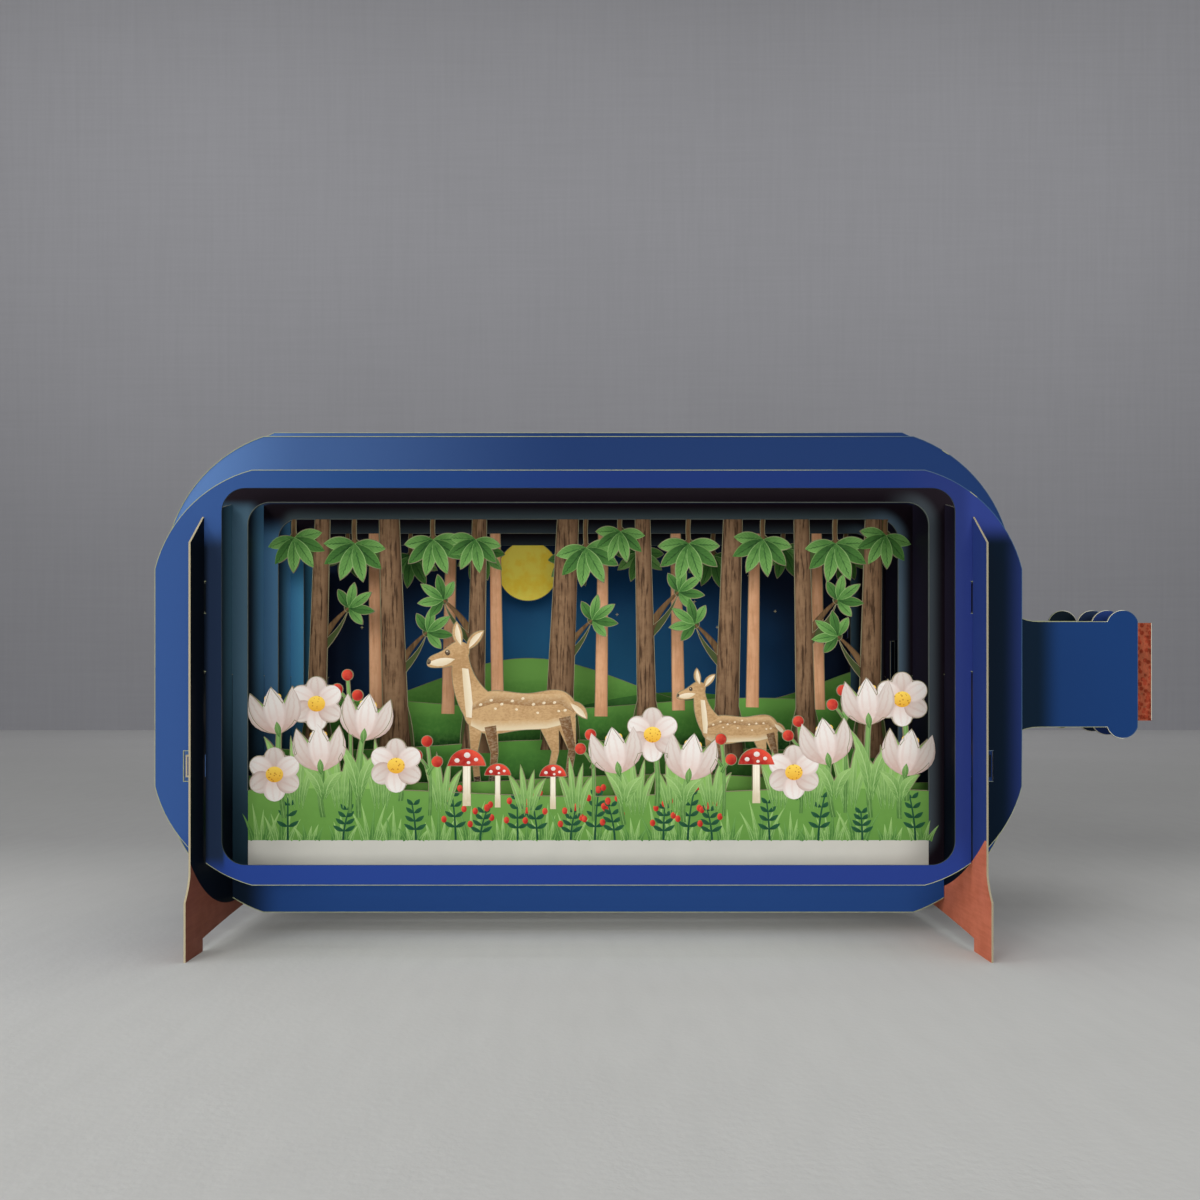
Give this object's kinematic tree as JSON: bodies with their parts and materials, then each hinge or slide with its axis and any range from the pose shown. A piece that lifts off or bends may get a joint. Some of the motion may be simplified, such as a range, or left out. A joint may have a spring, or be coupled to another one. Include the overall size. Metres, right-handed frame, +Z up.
{
  "type": "pop-up greeting card",
  "caption": "Free-standing pop-up greeting card shaped like a bottle on its side: slotted slices of printed card with a window into a layered forest scene, on two footed side panels.",
  "frame": {"origin": "middle of the overall footprint, on the surface that the card stands on", "axes": "+X along the bottle towards its mouth, +Y from the front frame to the back panel, +Z up"},
  "size_m": [0.2464, 0.12, 0.1186],
  "materials": {
    "blue_card": "satin printed card",
    "meadow_print": "satin printed card",
    "animal_print": "satin printed card",
    "forest_print": "satin printed card",
    "hill_print": "satin printed card",
    "sky_print": "satin printed card",
    "stand_print": "satin printed card",
    "cork_print": "satin printed card"
  },
  "bodies": {
    "root": {"front_frame": "blue_card", "meadow_layer": "meadow_print", "animal_strip": "animal_print", "near_trees_layer": "forest_print", "far_trees_layer": "forest_print", "hill_layer": "hill_print", "back_panel": "sky_print", "left_stand_panel": "stand_print", "right_stand_panel": "stand_print", "front_neck_sheet": "blue_card", "rear_neck_sheet": "blue_card", "cork_sheet": "cork_print"}
  },
  "joints": []
}
